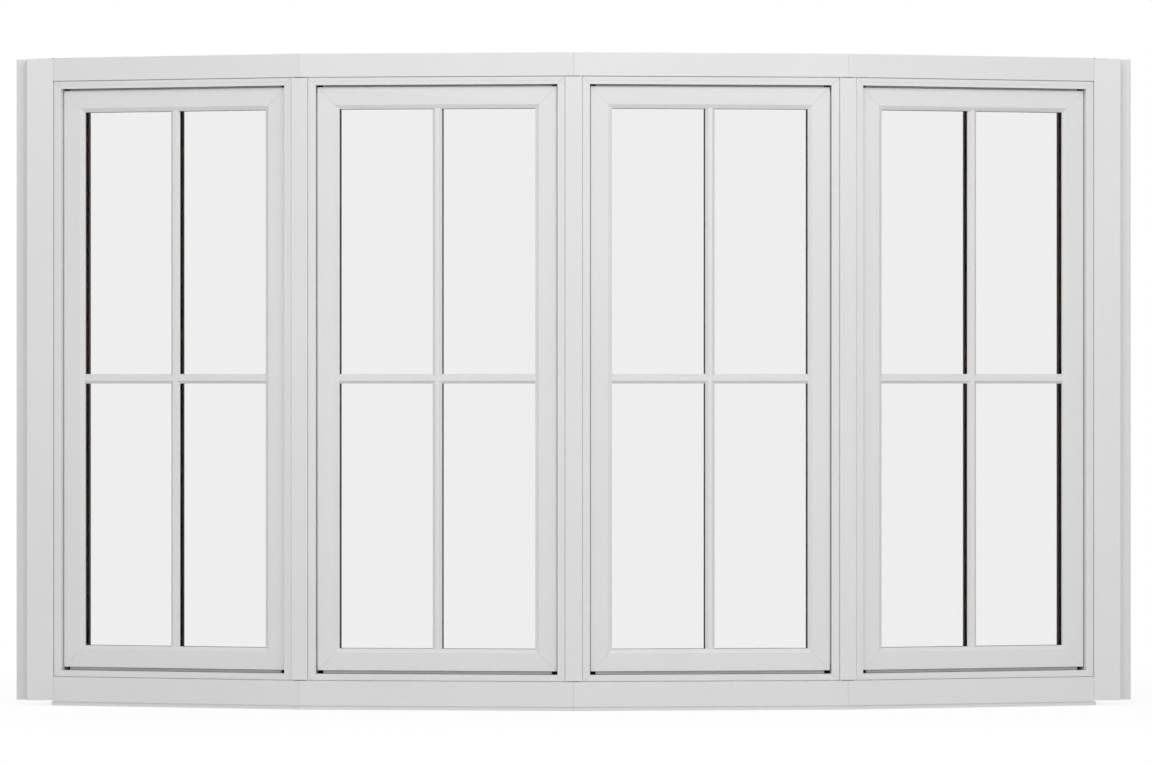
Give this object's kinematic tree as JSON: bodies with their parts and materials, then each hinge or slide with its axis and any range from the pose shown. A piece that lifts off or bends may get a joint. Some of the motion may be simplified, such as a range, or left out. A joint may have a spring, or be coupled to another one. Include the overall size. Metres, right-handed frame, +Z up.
{
  "type": "bow window",
  "caption": "Bow window: casement units with glazing bars mulled on a shallow bow between a head board and a seat board, white clad outside and dark wood inside.",
  "frame": {"origin": "on the underside of the seat board, midway along the bow, in the plane of the outer wall", "axes": "+X to the right seen from outside, +Y from outside into the room, +Z up"},
  "size_m": [2.5998, 0.427, 1.508],
  "materials": {
    "white_cladding": "satin white powder coat on aluminium",
    "dark_wood": "dark brown stained wood, satin varnish",
    "glass": "clear insulated glass",
    "spacer": "dark warm-edge spacer",
    "weatherstrip": "grey foam-filled seal",
    "hardware": "dark bronze finish"
  },
  "bodies": {
    "root": {"unit_1_frame_cladding": "white_cladding", "unit_2_frame_cladding": "white_cladding", "unit_3_frame_cladding": "white_cladding", "unit_4_frame_cladding": "white_cladding", "unit_1_frame_wood": "dark_wood", "unit_2_frame_wood": "dark_wood", "unit_3_frame_wood": "dark_wood", "unit_4_frame_wood": "dark_wood", "unit_1_sash_cladding": "white_cladding", "unit_2_sash_cladding": "white_cladding", "unit_3_sash_cladding": "white_cladding", "unit_4_sash_cladding": "white_cladding", "unit_1_sash_wood": "dark_wood", "unit_2_sash_wood": "dark_wood", "unit_3_sash_wood": "dark_wood", "unit_4_sash_wood": "dark_wood", "unit_1_glass": "glass", "unit_2_glass": "glass", "unit_3_glass": "glass", "unit_4_glass": "glass", "unit_1_bars_outside": "white_cladding", "unit_2_bars_outside": "white_cladding", "unit_3_bars_outside": "white_cladding", "unit_4_bars_outside": "white_cladding", "unit_1_bars_inside": "dark_wood", "unit_2_bars_inside": "dark_wood", "unit_3_bars_inside": "dark_wood", "unit_4_bars_inside": "dark_wood", "glass_spacers": "spacer", "weatherstrips": "weatherstrip", "seat_board": "dark_wood", "head_board": "dark_wood", "sill_fascia": "white_cladding", "head_fascia": "white_cladding", "drip_lip": "white_cladding", "mullion_covers": "white_cladding", "mullion_posts": "dark_wood", "mullion_casings": "dark_wood", "left_board": "white_cladding", "right_board": "white_cladding", "left_fin": "white_cladding", "right_fin": "white_cladding", "left_jamb": "dark_wood", "right_jamb": "dark_wood", "crank_operators": "hardware", "lock_levers": "hardware"}
  },
  "joints": []
}
